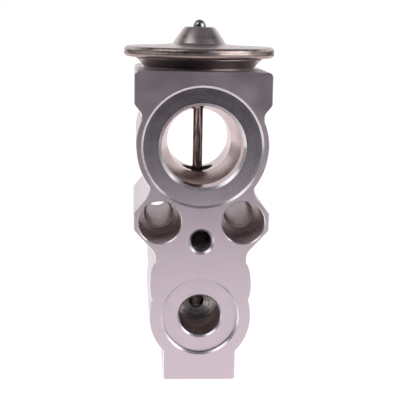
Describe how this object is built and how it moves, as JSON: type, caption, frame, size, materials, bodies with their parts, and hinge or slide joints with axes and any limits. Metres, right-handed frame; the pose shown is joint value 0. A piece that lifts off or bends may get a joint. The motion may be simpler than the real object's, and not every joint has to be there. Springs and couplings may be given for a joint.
{
  "type": "thermostatic expansion valve",
  "caption": "Block-type thermostatic expansion valve: drilled aluminium block, diaphragm head, actuating rod, ball and seat, superheat spring and adjusting screw.",
  "frame": {"origin": "on the rod axis, in the plane of the foot face, midway between the front and back faces", "axes": "+Z along the rod towards the diaphragm head, X across the block, +Y from the front face to the back face"},
  "size_m": [0.0406, 0.044, 0.0937],
  "materials": {
    "body_aluminium": "satin milled",
    "head_steel": "satin, with a polished rim",
    "bright_steel": "polished",
    "spring_steel": "drawn",
    "seal_rubber": "matt",
    "plate_brass": "turned",
    "rod_steel": "dark ground"
  },
  "bodies": {
    "block": {"valve_body": "body_aluminium", "head_lower_cover": "head_steel", "head_upper_cover": "head_steel", "charge_plug": "bright_steel", "diaphragm": "spring_steel", "head_gasket": "seal_rubber", "rod_seal": "seal_rubber", "seal_retainer": "spring_steel"},
    "stem": {"actuating_rod": "rod_steel", "stop_plate": "plate_brass", "valve_ball": "bright_steel", "ball_holder": "rod_steel", "damper_spring": "spring_steel"},
    "adjuster_carriage": {"adjuster_seal": "seal_rubber", "superheat_spring": "spring_steel"},
    "adjuster": {"adjuster_screw": "plate_brass"}
  },
  "joints": [
    {"name": "valve_lift", "type": "slide", "parent": "block", "child": "stem", "axis": [0, 0, -1], "range_m": [0, 0.0008], "stiffness_N_per_m": 19000, "deforming": ["superheat_spring", "diaphragm"]},
    {"name": "adjuster_travel", "type": "slide", "parent": "block", "child": "adjuster_carriage", "axis": [0, 0, 1], "range_m": [-0.001, 0.001], "deforming": ["superheat_spring"]},
    {"name": "adjuster_turn", "type": "hinge", "parent": "adjuster_carriage", "child": "adjuster", "pos_m": [0, 0, 0.0016], "axis": [0, 0, 1], "range_deg": [-360, 360]}
  ],
  "couplings": [
    {"joint": "adjuster_turn", "follows": "adjuster_travel", "rad_per_m": 6283.2}
  ]
}
